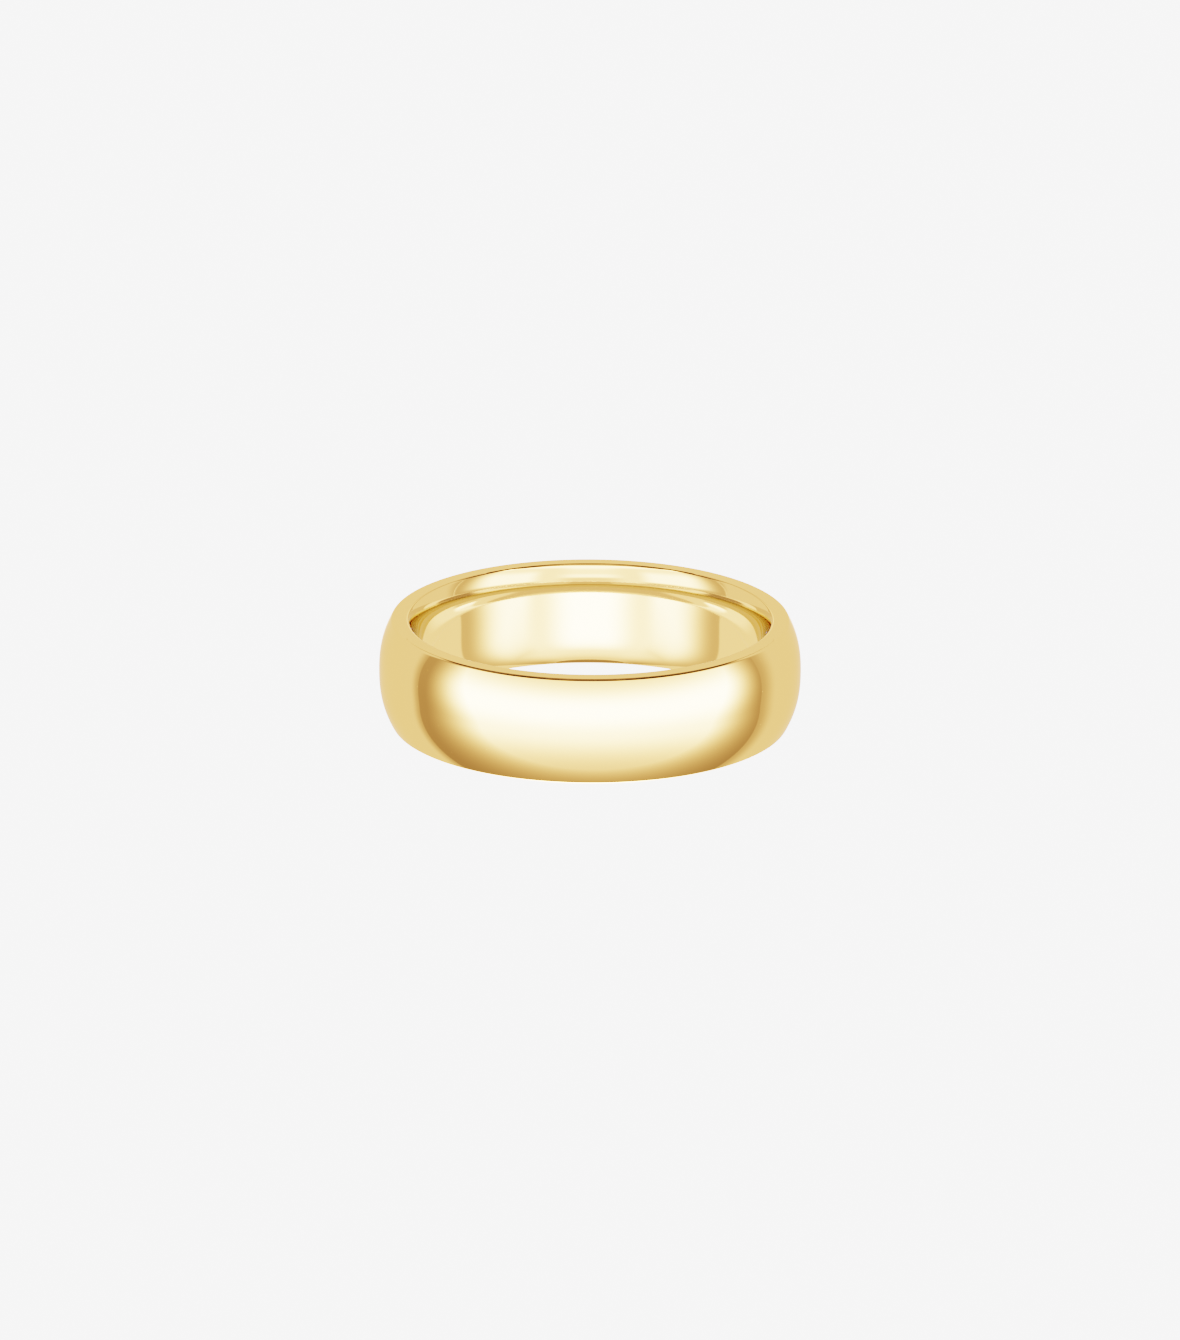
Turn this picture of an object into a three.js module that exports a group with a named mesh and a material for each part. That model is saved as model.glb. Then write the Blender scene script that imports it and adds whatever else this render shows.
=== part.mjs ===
// A plain wedding band: a half-round ring of polished yellow gold with a comfort-fit bore.
//
// The band is turned from one seamless blank, so it is one solid piece of metal and one mesh. Its
// section is a D: a domed outside, a narrow flat on each side, and a bore that is tightest at
// mid-width and opens towards both sides, so that it slides over a knuckle. Every corner of the
// section is rounded.
//
// Frame: millimetres, +Z along the finger, origin at the centre of the bore at mid-width.
// The band is the same all the way round Z and the same on both sides of Z = 0.

import * as THREE from "three";

// Driving dimensions, in millimetres.
const BORE_DIAMETER = 19.41; // tightest point of the bore: US ring size 9 1/2, inner circumference 61.0
const BAND_WIDTH = 6.0; // along the finger
const WALL_THICKNESS = 2.08; // at mid-width, where the dome is highest
const SIDE_THICKNESS = 0.89; // of each side, between its two corners as if they were sharp
const COMFORT_RELIEF = 0.46; // how far the bore's wall falls back from mid-width to each side
const CORNER_ROUND = 0.2; // radius of all four corners of the section

// How each face of the section curves: it falls away from mid-width as this power of the height.
const DOME_POWER = 2.4;
const COMFORT_POWER = 4.6;

// Facets.
const AROUND = 96; // steps round the finger
const DOME_STEPS = 7; // from mid-width to a corner
const BORE_STEPS = 6; // from mid-width to a corner
const CORNER_STEPS = 2;

const HALF_WIDTH = BAND_WIDTH / 2;
const BORE_RADIUS = BORE_DIAMETER / 2;
const OUTER_RADIUS = BORE_RADIUS + WALL_THICKNESS;
const DOME_FALL = WALL_THICKNESS - SIDE_THICKNESS - COMFORT_RELIEF;
const QUARTER_TURN = Math.PI / 2;

// One face of the section: its radius at mid-width, how far and by which power it falls away, and
// which way that is: -1 towards the finger on the dome, +1 away from it in the bore.
const dome = { middle: OUTER_RADIUS, fall: DOME_FALL, power: DOME_POWER, way: -1 };
const bore = { middle: BORE_RADIUS, fall: COMFORT_RELIEF, power: COMFORT_POWER, way: 1 };

function radiusAt(face, z) {
  return face.middle + face.way * face.fall * (z / HALF_WIDTH) ** face.power;
}

function steepnessAt(face, z) {
  return (face.fall * face.power * (z / HALF_WIDTH) ** (face.power - 1)) / HALF_WIDTH;
}

// Where a face hands over to its corner round, which is tangent to the face and to the flat side,
// and how far the face leans over there. Each pass halves what is left to settle, or better.
function cornerOf(face) {
  const passes = 8;
  let z = HALF_WIDTH;
  let lean = 0;
  for (let pass = 0; pass < passes; pass += 1) {
    lean = Math.atan(steepnessAt(face, z));
    z = HALF_WIDTH - CORNER_ROUND * (1 - Math.sin(lean));
  }
  return { z, lean };
}

// A face's points from mid-width up to its corner, closest together where it curves most.
function facePoints(face, steps) {
  const end = cornerOf(face).z;
  const points = [];
  for (let step = 0; step <= steps; step += 1) {
    const z = end * Math.sin((QUARTER_TURN * step) / steps);
    points.push(new THREE.Vector2(radiusAt(face, z), z));
  }
  return points;
}

// The round from a face's last point to the flat side, without that first point.
function cornerPoints(face) {
  const { z, lean } = cornerOf(face);
  const out = -face.way;
  const centreRadius = radiusAt(face, z) - out * CORNER_ROUND * Math.cos(lean);
  const points = [];
  for (let step = 1; step <= CORNER_STEPS; step += 1) {
    const angle = lean + ((QUARTER_TURN - lean) * step) / CORNER_STEPS;
    const radius = centreRadius + out * CORNER_ROUND * Math.cos(angle);
    points.push(new THREE.Vector2(radius, HALF_WIDTH - CORNER_ROUND * (1 - Math.sin(angle))));
  }
  return points;
}

// The whole section, closed on itself: up the dome, across the top side, down the bore and back.
function sectionPoints() {
  const up = [...facePoints(dome, DOME_STEPS), ...cornerPoints(dome)];
  const down = [...facePoints(bore, BORE_STEPS), ...cornerPoints(bore)].reverse();
  const upperHalf = [...up, ...down];
  const lowerHalf = upperHalf
    .slice(1, -1)
    .reverse()
    .map((point) => new THREE.Vector2(point.x, -point.y));
  return [...upperHalf, ...lowerHalf, upperHalf[0].clone()];
}

function makeBand() {
  const geometry = new THREE.LatheGeometry(sectionPoints(), AROUND);
  geometry.rotateX(QUARTER_TURN); // a lathe turns about Y, and the finger lies along Z
  const gold = new THREE.MeshStandardMaterial({ color: 0xe6cc8f, metalness: 1, roughness: 0.08 });
  const band = new THREE.Mesh(geometry, gold);
  band.name = "band";
  return band;
}

const ring = new THREE.Group();
ring.add(makeBand());

export default ring;
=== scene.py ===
"""The looks of a polished gold wedding band: its fine surface, its metal, and a plain pale studio."""

import math

import bmesh
import bpy
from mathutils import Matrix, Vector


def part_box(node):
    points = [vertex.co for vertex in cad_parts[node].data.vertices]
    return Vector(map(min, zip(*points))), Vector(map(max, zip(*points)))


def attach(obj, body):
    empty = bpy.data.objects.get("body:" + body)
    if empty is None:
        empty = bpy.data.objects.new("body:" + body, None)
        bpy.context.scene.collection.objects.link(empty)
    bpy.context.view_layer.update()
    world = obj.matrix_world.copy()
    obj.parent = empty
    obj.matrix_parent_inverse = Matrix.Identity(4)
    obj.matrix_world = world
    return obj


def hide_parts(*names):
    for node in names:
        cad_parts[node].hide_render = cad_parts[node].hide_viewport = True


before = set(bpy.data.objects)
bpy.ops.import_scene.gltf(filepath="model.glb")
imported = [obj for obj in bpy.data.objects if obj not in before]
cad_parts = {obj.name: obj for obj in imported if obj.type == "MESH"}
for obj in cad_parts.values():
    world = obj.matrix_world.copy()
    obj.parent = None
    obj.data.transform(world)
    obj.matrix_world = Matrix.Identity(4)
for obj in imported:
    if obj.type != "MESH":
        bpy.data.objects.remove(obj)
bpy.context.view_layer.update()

MM = 0.001

# ---------------------------------------------------------------------------------------------
# The band's section. Its width and outside come from the frame; the rest repeats the CAD part.

LOW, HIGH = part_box("band")
OUTER_RADIUS = (HIGH.x - LOW.x) / 2
HALF_WIDTH = (HIGH.z - LOW.z) / 2
WALL_THICKNESS = 2.08 * MM  # at mid-width
SIDE_THICKNESS = 0.89 * MM  # of each flat side, between its two corners as if they were sharp
COMFORT_RELIEF = 0.46 * MM  # how far the bore's wall falls back from mid-width to each side
CORNER_ROUND = 0.2 * MM
DOME_POWER = 2.4
COMFORT_POWER = 4.6
BORE_RADIUS = OUTER_RADIUS - WALL_THICKNESS
DOME_FALL = WALL_THICKNESS - SIDE_THICKNESS - COMFORT_RELIEF

# How finely the section is cut.
AROUND = 512
DOME_STEPS = 28  # from mid-width to a corner
BORE_STEPS = 28
CORNER_STEPS = 7
SIDE_STEPS = 5
SETTLING_PASSES = 8  # to find where a face meets its corner round


class Face:
    """One face of the section: radius middle + way * fall * (z / HALF_WIDTH) ** power."""

    def __init__(self, middle, fall, power, way):
        self.middle = middle
        self.fall = fall
        self.power = power
        self.way = way

    def radius(self, z):
        return self.middle + self.way * self.fall * (z / HALF_WIDTH) ** self.power

    def lean(self, z):
        """How far the face leans over at that height, in radians."""
        slope = self.fall * self.power * (z / HALF_WIDTH) ** (self.power - 1) / HALF_WIDTH
        return math.atan(slope)

    def corner_height(self):
        """Where the face hands over to a corner round tangent to it and to the flat side."""
        z = HALF_WIDTH
        for _ in range(SETTLING_PASSES):
            z = HALF_WIDTH - CORNER_ROUND * (1 - math.sin(self.lean(z)))
        return z


DOME = Face(OUTER_RADIUS, DOME_FALL, DOME_POWER, -1)
BORE = Face(BORE_RADIUS, COMFORT_RELIEF, COMFORT_POWER, 1)


def face_points(face, steps):
    """(radius, z, normal's radius, normal's z) from mid-width up to the corner."""
    points = []
    for step in range(steps + 1):
        z = face.corner_height() * math.sin(math.pi / 2 * step / steps)
        lean = face.lean(z)
        points.append((face.radius(z), z, -face.way * math.cos(lean), math.sin(lean)))
    return points


def corner_points(face):
    """The round from a face's last point to the flat side, without that first point."""
    start = face.corner_height()
    lean = face.lean(start)
    centre = face.radius(start) + face.way * CORNER_ROUND * math.cos(lean)
    points = []
    for step in range(1, CORNER_STEPS + 1):
        angle = lean + (math.pi / 2 - lean) * step / CORNER_STEPS
        out, up = -face.way * math.cos(angle), math.sin(angle)
        points.append((centre + CORNER_ROUND * out, HALF_WIDTH - CORNER_ROUND * (1 - up), out, up))
    return points


def section():
    """The whole section, once round: up the dome, across the top, down the bore, and back."""
    rise = face_points(DOME, DOME_STEPS) + corner_points(DOME)
    fall = (face_points(BORE, BORE_STEPS) + corner_points(BORE))[::-1]
    start, end = rise[-1][0], fall[0][0]
    side = []
    for step in range(1, SIDE_STEPS):
        side.append((start + (end - start) * step / SIDE_STEPS, HALF_WIDTH, 0.0, 1.0))
    upper = rise + side + fall
    lower = [(radius, -z, out, -up) for radius, z, out, up in upper[1:-1]]
    return upper + lower[::-1]


def band_mesh():
    """The section turned round Z, with its true normals."""
    outline = section()
    count = len(outline)
    vertices, normals, faces = [], [], []
    for turn in range(AROUND):
        angle = 2 * math.pi * turn / AROUND
        c, s = math.cos(angle), math.sin(angle)
        for radius, z, out, up in outline:
            vertices.append((radius * c, radius * s, z))
            normals.append((out * c, out * s, up))
        here, after = turn * count, (turn + 1) % AROUND * count
        for i in range(count):
            j = (i + 1) % count
            faces.append((here + i, after + i, after + j, here + j))
    mesh = bpy.data.meshes.new("band")
    mesh.from_pydata(vertices, [], faces)
    mesh.shade_smooth()
    mesh.normals_split_custom_set_from_vertices(normals)
    mesh.update()
    return mesh


# ---------------------------------------------------------------------------------------------
# Formulas: shader node trees written as arithmetic


def plug(value, socket):
    """Sets a socket to a number, or links a formula to it."""
    if isinstance(value, Formula):
        value.tree.links.new(value.socket, socket)
    else:
        socket.default_value = value


def calculate(tree, operation, *values, clamp=False):
    """A Math node, as a formula."""
    node = tree.nodes.new("ShaderNodeMath")
    node.operation = operation
    node.use_clamp = clamp
    for value, socket in zip(values, node.inputs):
        plug(value, socket)
    return Formula(tree, node.outputs[0])


class Formula:
    """One number in a node tree. Arithmetic on it adds Math nodes."""

    def __init__(self, tree, socket):
        self.tree = tree
        self.socket = socket

    def __add__(self, other):
        return calculate(self.tree, "ADD", self, other)

    def __sub__(self, other):
        return calculate(self.tree, "SUBTRACT", self, other)

    def __rsub__(self, other):
        return calculate(self.tree, "SUBTRACT", other, self)

    def __mul__(self, other):
        return calculate(self.tree, "MULTIPLY", self, other)

    def __truediv__(self, other):
        return calculate(self.tree, "DIVIDE", self, other)

    def __rtruediv__(self, other):
        return calculate(self.tree, "DIVIDE", other, self)

    def __pow__(self, other):
        return calculate(self.tree, "POWER", self, other)

    def __rpow__(self, other):
        return calculate(self.tree, "POWER", other, self)

    def __abs__(self):
        return calculate(self.tree, "ABSOLUTE", self)

    __radd__ = __add__
    __rmul__ = __mul__

    def degrees(self, operation, *others):
        """An angle in degrees, by ARCSINE, ARCCOSINE or ARCTAN2."""
        return calculate(self.tree, operation, self, *others) * (180 / math.pi)

    def least(self, other):
        return calculate(self.tree, "MINIMUM", self, other)

    def most(self, other):
        return calculate(self.tree, "MAXIMUM", self, other)

    def ramp(self, low, high):
        """0 at low, 1 at high, straight between and level beyond."""
        return calculate(self.tree, "DIVIDE", self - low, high - low, clamp=True)

    def rise(self, low, high):
        """0 at low, 1 at high, with a smooth step between."""
        share = self.ramp(low, high)
        return share * share * (3 - 2 * share)


def blend(low, high, weight):
    """From low at weight 0 to high at weight 1, by equal ratios."""
    return low * (high / low) ** weight


def levels(value, start, *steps):
    """The start level, and then for each step (from, to, level) a smooth change to its level."""
    level = start
    for low, high, target in steps:
        level = blend(level, target, value.rise(low, high))
    return level


def place(tree):
    """The three coordinates of the point being shaded."""
    split = tree.nodes.new("ShaderNodeSeparateXYZ")
    tree.links.new(tree.nodes.new("ShaderNodeTexCoord").outputs["Object"], split.inputs[0])
    return [Formula(tree, socket) for socket in split.outputs]


# ---------------------------------------------------------------------------------------------
# The metal

GOLD = (0.92, 0.73, 0.39)
GRAZING_GOLD = (0.98, 0.92, 0.76)  # keeps the metal golden at low angles

ROUGHNESS = 0.046
LINE_WIDTH = 0.12 * MM  # of the faint lines that the polishing wheel leaves round the band
LINE_LENGTH = 9.0 * MM
LINE_ROUGHNESS = 0.012
CLOUD_SIZE = 2.2 * MM  # of the patches that took the polish a little better or worse
CLOUD_ROUGHNESS = 0.008
WAVE_SIZE = 1.7 * MM  # of the shallow waves that hand polishing leaves
WAVE_HEIGHT = 0.0009 * MM
LINE_DEPTH = 0.03  # over the height of the waves


def noise(tree, size, detail, *where):
    """Smooth random noise about 0, from -1 to 1 or a little less, over features of that size."""
    point = tree.nodes.new("ShaderNodeCombineXYZ")
    for value, socket in zip(where, point.inputs):
        plug(value / size, socket)
    node = tree.nodes.new("ShaderNodeTexNoise")
    node.inputs["Scale"].default_value = 1.0
    node.inputs["Detail"].default_value = detail
    tree.links.new(point.outputs[0], node.inputs["Vector"])
    return Formula(tree, node.outputs[0]) * 2 - 1


def polished_gold():
    """Mirror-polished gold with the faint lines, clouds and waves of a polishing wheel."""
    material = bpy.data.materials.new("polished_gold")
    material.use_nodes = True
    tree = material.node_tree
    shader = tree.nodes["Principled BSDF"]
    shader.inputs["Base Color"].default_value = (*GOLD, 1)
    shader.inputs["Metallic"].default_value = 1.0
    shader.inputs["Specular Tint"].default_value = (*GRAZING_GOLD, 1)

    x, y, z = place(tree)
    radius = (x * x + y * y) ** 0.5
    stretch = LINE_WIDTH / LINE_LENGTH * OUTER_RADIUS / radius
    lines = noise(tree, LINE_WIDTH, 2.0, x * stretch, y * stretch, z + radius)
    clouds = noise(tree, CLOUD_SIZE, 2.0, x, y, z)
    plug(ROUGHNESS + LINE_ROUGHNESS * lines + CLOUD_ROUGHNESS * clouds, shader.inputs["Roughness"])

    waves = noise(tree, WAVE_SIZE, 0.0, y, z, x)
    bump = tree.nodes.new("ShaderNodeBump")
    bump.inputs["Distance"].default_value = WAVE_HEIGHT
    plug(waves + LINE_DEPTH * lines, bump.inputs["Height"])
    tree.links.new(bump.outputs["Normal"], shader.inputs["Normal"])
    return material


# ---------------------------------------------------------------------------------------------
# The studio. The camera sees only a plain pale table, which lights itself, takes no shadow and is
# not reflected. What the gold reflects is a light tent round it, and a sleeve of light in line
# with the bore, above and below the band. Their levels were set for the view from the
# front. They are not lamps that a studio could hold: lamp_material says how they differ.
# Brightness is given as the polished gold shows it; angles are in degrees.

PALE = 2.44  # the table, and everything beyond it
BACKDROP = 1.08  # the tent's wall
WARMTH = (1.0, 0.677, 0.476)  # the lamps' colour, much warmer than white

# How light that met the gold more than once is treated. Lengths here are over the band's radius.
BORE_WIDTH = 2 * BORE_RADIUS / OUTER_RADIUS
BORE_MIDDLE = 0.12  # how far above or below mid-width light usually leaves the bore's wall
LEAST_LEVEL = 0.1  # the least share of light's way that is taken to be level
LEAST_FACING = 0.45  # how squarely light at least meets the bore, over its number of meetings
TINT_FACING = 1 / 7  # how squarely light meets the metal where GRAZING_GOLD applies
SECOND_BOUNCE = 0.72  # how bright the second meeting leaves the light
NEXT_BOUNCE = 0.85  # and each one after it
MOST_DIMMED = 5.0  # meetings after the second that dim the light; more dim it no further
MOST_BOUNCES = 10.0  # meetings after the first that are counted
LATER_TINT = (1.0, 1.0, 0.88, 1.0)  # the colour that each meeting after the second leaves

TENT_RADIUS = 7.0 * OUTER_RADIUS
LAMP = 10.8  # the soft lamp across the front
LAMP_HEIGHT = 2.5
LAMP_SPREAD = 15.0
LAMP_EDGE = 2.6  # the power by which it falls off above and below
LAMP_TOP = (38, 45)  # where it gives way to the zenith
LAMP_TURN = 3.7  # how far it stands to the right
LAMP_END = 97  # from its middle round to where its fade ends
FADE_WIDTH = 29
FADE_NARROWING = 0.35  # of that width, with each degree of height
LEAST_FADE_WIDTH = 12
AROUND_LAMP = 0.95
SHADE = 0.43  # beside the lamp, at the rim of the front half
SHADE_FADE = 1.33
SHADE_DOUBLING = 200  # the height over which the shade doubles
RIM = 99.0  # from straight ahead to where the front half ends
RIM_SOFTNESS = 0.3
RIM_LEVEL = 0.55  # of the backdrop, just behind the rim
RIM_WIDTH = 11
RIM_SLANT = 4  # how much wider that is on the right than in the middle
BACK_LAMP = 5.0  # a soft panel behind and below the band
BACK_HEIGHT = -25.0
BACK_TALL = (8, 28)  # from its middle height to where it starts and stops fading
BACK_WIDE = (154, 168)
BACK_TOP = (44, 52)  # where the backdrop gives way to the zenith
ZENITH = 0.08
OVERHEAD = 0.9  # straight above and no wider than the band
OVERHEAD_EDGE = (71, 78)
TENT_FURTHER = 1.35  # the whole tent, for light that met the gold three times or more

SLEEVE_RADIUS = 0.867 * OUTER_RADIUS  # just wider than the bore
SLEEVE_GAP = 0.001 * OUTER_RADIUS  # between the band and each sleeve
UPPER_SLEEVE = 2.1 * OUTER_RADIUS
UPPER_OPEN_FROM = 145  # the upper sleeve has no wall behind the band
LOWER_SLEEVE = 4.7 * OUTER_RADIUS


def reach(tree):
    """How far the light goes from the last gold it met to the lamp, over the band's radius."""
    path = tree.nodes.new("ShaderNodeLightPath")
    return Formula(tree, path.outputs["Ray Length"]) / OUTER_RADIUS


def vector_math(tree, operation, *values):
    """A Vector Math node's result. Each value is three numbers, a formula or a socket."""
    node = tree.nodes.new("ShaderNodeVectorMath")
    node.operation = operation
    for value, socket in zip(values, node.inputs):
        if isinstance(value, bpy.types.NodeSocket):
            tree.links.new(value, socket)
        else:
            plug(value, socket)
    return node.outputs[0]


def reflected(tree, extra):
    """What the gold sends on of the light it last met, in the bore, as a colour.

    It is the Principled shader's own formula for metal. Light that meets a round bore at a low
    angle goes only a short way to its next meeting, so the way tells the angle. It takes many
    such meetings to come round the bore, so with few of them the angle was no low one.
    """
    way = reach(tree)
    climb = (abs(place(tree)[2]) / OUTER_RADIUS - BORE_MIDDLE) / way
    facing = (way * (1 - climb * climb).most(LEAST_LEVEL) / BORE_WIDTH).least(1)
    facing = facing.most(LEAST_FACING / extra.most(1))
    away = 1 - facing
    bright, dip = [], []
    for gold, grazing in zip(GOLD, GRAZING_GOLD):
        bright.append(1 - gold)
        at_tint = gold + (1 - gold) * (1 - TINT_FACING) ** 5
        dip.append(-at_tint * (1 - grazing) / (TINT_FACING * (1 - TINT_FACING) ** 6))
    whole = vector_math(tree, "MULTIPLY_ADD", away**5, bright, GOLD)
    return vector_math(tree, "MULTIPLY_ADD", facing * away**6, dip, whole)


def lamp_material(name, lights):
    """Light for gold that faces it, for gold seen in gold, and for all further reflections.

    This is not physical. Real light reddens each time that it meets gold. Here the lamp's colour
    and strength depend on how often the light it sends has met the gold, and on how far it goes
    to the gold: it gives back about the colour that the later meetings take, so that the bore
    stays yellow, and each set of meetings has brightness levels of its own.
    """
    material = bpy.data.materials.new(name)
    material.use_nodes = True
    material.cycles.emission_sampling = "NONE"
    tree = material.node_tree
    tree.nodes.clear()
    direct, second, further = lights(tree)
    path = tree.nodes.new("ShaderNodeLightPath")
    extra = (Formula(tree, path.outputs["Ray Depth"]) - 1).most(0.0).least(MOST_BOUNCES)
    strength = blend(blend(direct, second, extra.ramp(0, 1)), further, extra.ramp(1, 2))
    later = (extra - 1).most(0)
    strength = strength * SECOND_BOUNCE ** extra.least(1) * NEXT_BOUNCE ** later.least(MOST_DIMMED)

    tint = tree.nodes.new("ShaderNodeGamma")
    given_back = vector_math(tree, "DIVIDE", (1, 1, 1), reflected(tree, extra))
    tree.links.new(given_back, tint.inputs["Color"])
    plug(extra, tint.inputs["Gamma"])
    later_tint = tree.nodes.new("ShaderNodeGamma")
    later_tint.inputs["Color"].default_value = LATER_TINT
    plug(later, later_tint.inputs["Gamma"])
    tinted = vector_math(tree, "MULTIPLY", tint.outputs[0], later_tint.outputs[0])

    glow = tree.nodes.new("ShaderNodeEmission")
    tree.links.new(vector_math(tree, "MULTIPLY", tinted, WARMTH), glow.inputs["Color"])
    plug(strength / GOLD[0], glow.inputs["Strength"])
    out = tree.nodes.new("ShaderNodeOutputMaterial")
    tree.links.new(glow.outputs[0], out.inputs["Surface"])
    return material


def tent_light(tree):
    """A wide soft lamp that fades to a dark rim beside it, and a plain backdrop behind the rim."""
    x, y, z = place(tree)
    distance = (x * x + y * y + z * z) ** 0.5
    height = (z / distance).degrees("ARCSINE")
    turn = math.radians(LAMP_TURN)
    off_lamp = ((x * math.sin(turn) - y * math.cos(turn)) / distance).degrees("ARCCOSINE")
    off_front = (-1 * y / distance).degrees("ARCCOSINE")

    off_strip = abs(height - LAMP_HEIGHT) / LAMP_SPREAD
    lamp = AROUND_LAMP + LAMP / (1 + off_strip**LAMP_EDGE)
    lamp = blend(lamp, ZENITH, height.rise(*LAMP_TOP))
    width = (FADE_WIDTH - FADE_NARROWING * height).most(LEAST_FADE_WIDTH)
    shade = SHADE * 2 ** (height / SHADE_DOUBLING)
    front = blend(shade, lamp, (LAMP_END - off_lamp).ramp(0, width) ** SHADE_FADE)

    past_rim = off_front.rise(RIM, RIM + RIM_WIDTH + RIM_SLANT * x / distance)
    back = BACKDROP * (RIM_LEVEL + (1 - RIM_LEVEL) * past_rim)
    glow = off_front.rise(*BACK_WIDE) * (1 - abs(height - BACK_HEIGHT).rise(*BACK_TALL))
    back = blend(back, BACK_LAMP, glow)
    back = blend(back, ZENITH, height.rise(*BACK_TOP))

    behind = off_front.rise(RIM - RIM_SOFTNESS, RIM + RIM_SOFTNESS)
    direct = front * (1 - behind) + back * behind
    return blend(direct, OVERHEAD, height.rise(*OVERHEAD_EDGE)), BACKDROP, TENT_FURTHER


def lower_sleeve_light(tree):
    """What the bore reflects from below: a tall lamp in front, one at each side, a plain back.

    Turns are from the front, depths and reaches over the band's radius. The levels for light that
    met the gold twice go by its reach, and were set like the rest.
    """
    x, y, z = place(tree)
    turn = abs(x.degrees("ARCTAN2", -1 * y))
    depth = -1 * z / OUTER_RADIUS
    deep = levels(turn, 2.5, (45, 150, 0.76))
    deep = blend(deep, deep * 0.55, depth.ramp(1.8, 3.6))
    front = blend(levels(turn, 12.3, (12, 50, 3.3)), deep, depth.rise(0.65, 1.75))
    end = turn.ramp(60, 100)
    side = levels(turn, 6.3, (82, 136, 0.72))
    side = blend(side, deep, (depth - 0.28 - 0.32 * end).ramp(0, 0.85 + 0.4 * end))
    direct = blend(blend(front, side, turn.rise(52, 70)), 1.3, turn.rise(140, 143))
    beside = levels(depth, 1.5, (0.37, 0.44, 6.3), (0.5, 0.75, 3.8))
    second = levels(reach(tree), 1.8, (0.7, 0.95, 2.6), (1.13, 1.2, beside), (1.33, 1.38, 1.95),
                    (1.53, 1.6, 1.1), (1.75, 2.5, 1.9), (2.6, 3.6, 2.6))
    return direct, second, 1.2


def upper_sleeve_light(tree):
    """What the rounded upper part of the bore reflects. The sleeve's outside is plain and dark.

    It is built like the lower sleeve's light.
    """
    x, y, z = place(tree)
    turn = abs(x.degrees("ARCTAN2", -1 * y))
    height = z / OUTER_RADIUS
    centre = levels(height, 1.5, (0.44, 0.62, 4.1), (0.7, 0.95, 2.8), (1.2, 1.9, 5.8))
    side = levels(height, 0.9, (0.26, 0.42, 5.2), (0.85, 1.4, 2.6))
    inside = levels(turn, centre, (12, 38, 2.3), (44, 64, side), (98, 141, 0.66), (142, 145, 1.3))
    inside = levels(height, inside, (1.45, 1.85, 5.0), (1.95, 2.25, 0.3))
    outside = levels(height, BACKDROP, (0.34, 0.36, ZENITH))
    facing = Formula(tree, tree.nodes.new("ShaderNodeNewGeometry").outputs["Backfacing"])
    second = levels(reach(tree), 2.2, (0.93, 1.02, 0.55), (1.3, 1.42, 2.6), (1.55, 1.65, 1.5))
    return blend(outside, inside, facing), second, second * 0.8


def light_shape(name, shape, light, height=0.0):
    """A mesh that only the gold sees."""
    mesh = bpy.data.meshes.new(name)
    shape.to_mesh(mesh)
    shape.free()
    for vertex in mesh.vertices:
        vertex.co.z += height
    mesh.materials.append(light)
    lamp = bpy.data.objects.new(name, mesh)
    bpy.context.scene.collection.objects.link(lamp)
    lamp.visible_camera = False
    lamp.visible_diffuse = False
    lamp.visible_transmission = False
    lamp.visible_volume_scatter = False
    lamp.visible_shadow = False


def ball(radius):
    shape = bmesh.new()
    bmesh.ops.create_icosphere(shape, subdivisions=5, radius=radius)
    return shape


def tube(radius, length, open_from=180):
    """A tube without ends, and without its wall further than open_from degrees from the front."""
    shape = bmesh.new()
    bmesh.ops.create_cone(shape, segments=360, radius1=radius, radius2=radius, depth=length)
    for face in list(shape.faces):
        middle = face.calc_center_median()
        if math.degrees(math.acos(-middle.y / middle.xy.length)) > open_from:
            shape.faces.remove(face)
    return shape


def lights():
    light_shape("light_tent", ball(TENT_RADIUS), lamp_material("tent_light", tent_light))
    base = HALF_WIDTH + SLEEVE_GAP
    upper = tube(SLEEVE_RADIUS, UPPER_SLEEVE, UPPER_OPEN_FROM)
    upper_light = lamp_material("upper_light", upper_sleeve_light)
    light_shape("upper_sleeve", upper, upper_light, base + UPPER_SLEEVE / 2)
    lower = tube(SLEEVE_RADIUS, LOWER_SLEEVE)
    lower_light = lamp_material("lower_light", lower_sleeve_light)
    light_shape("lower_sleeve", lower, lower_light, -base - LOWER_SLEEVE / 2)


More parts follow.
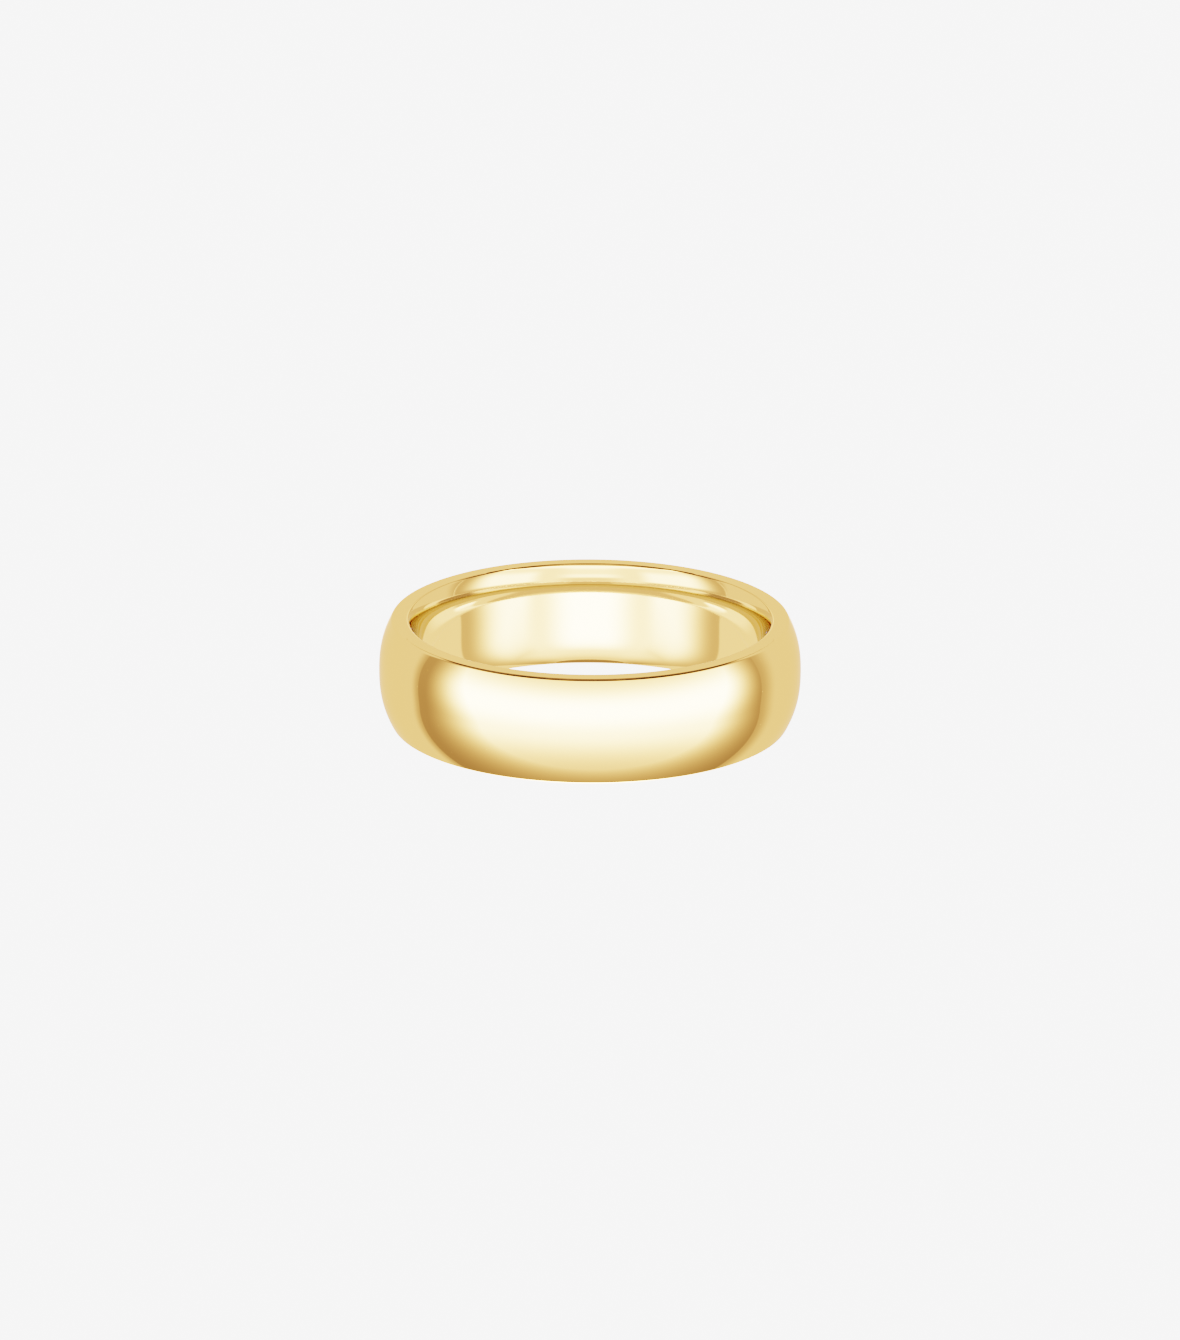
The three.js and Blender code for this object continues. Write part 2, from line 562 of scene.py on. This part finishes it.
def studio_world():
    world = bpy.data.worlds.new("studio")
    bpy.context.scene.world = world
    world.use_nodes = True
    world.cycles.sampling_method = "NONE"
    tree = world.node_tree
    tree.nodes.clear()
    pale = tree.nodes.new("ShaderNodeBackground")
    pale.inputs["Color"].default_value = (1, 1, 1, 1)
    pale.inputs["Strength"].default_value = PALE
    out = tree.nodes.new("ShaderNodeOutputWorld")
    tree.links.new(pale.outputs[0], out.inputs["Surface"])


def table():
    """A wide plain sheet that lights itself and that the gold does not reflect."""
    half = 30.0
    mesh = bpy.data.meshes.new("table")
    corners = [(-half, -half), (half, -half), (half, half), (-half, half)]
    mesh.from_pydata([(x, y, LOW.z) for x, y in corners], [], [(0, 1, 2, 3)])
    floor = bpy.data.objects.new("table", mesh)
    bpy.context.scene.collection.objects.link(floor)
    material = bpy.data.materials.new("pale_table")
    material.use_nodes = True
    tree = material.node_tree
    tree.nodes.clear()
    glow = tree.nodes.new("ShaderNodeEmission")
    glow.inputs["Strength"].default_value = PALE
    out = tree.nodes.new("ShaderNodeOutputMaterial")
    tree.links.new(glow.outputs[0], out.inputs["Surface"])
    mesh.materials.append(material)
    floor.visible_glossy = False


def camera():
    distance = 33.4 * OUTER_RADIUS
    elevation = math.radians(18.1)
    roll = math.radians(0.25)  # how far the camera is turned about its own line of sight
    sink = 0.007 * OUTER_RADIUS  # how far the camera aims below the band's middle
    data = bpy.data.cameras.new("camera")
    data.sensor_width = 36.0
    tall = 6.353 * OUTER_RADIUS  # the height of the picture at the band
    data.lens = data.sensor_width * distance / tall
    data.clip_start = 0.01
    data.clip_end = 200
    eye = bpy.data.objects.new("camera", data)
    eye.location = (0, -distance * math.cos(elevation), distance * math.sin(elevation) - sink)
    eye.rotation_mode = "ZXY"
    eye.rotation_euler = (math.pi / 2 - elevation, 0, roll)
    bpy.context.scene.collection.objects.link(eye)
    bpy.context.scene.camera = eye


camera()
studio_world()
table()
lights()

band = bpy.data.objects.new("gold_band", band_mesh())
bpy.context.scene.collection.objects.link(band)
band.data.materials.append(polished_gold())
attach(band, "root")
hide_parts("band")

scene = bpy.context.scene
scene.view_settings.view_transform = "Filmic"
scene.view_settings.look = "Very High Contrast"
scene.cycles.caustics_reflective = False
scene.cycles.glossy_bounces = 16
scene.cycles.max_bounces = 16
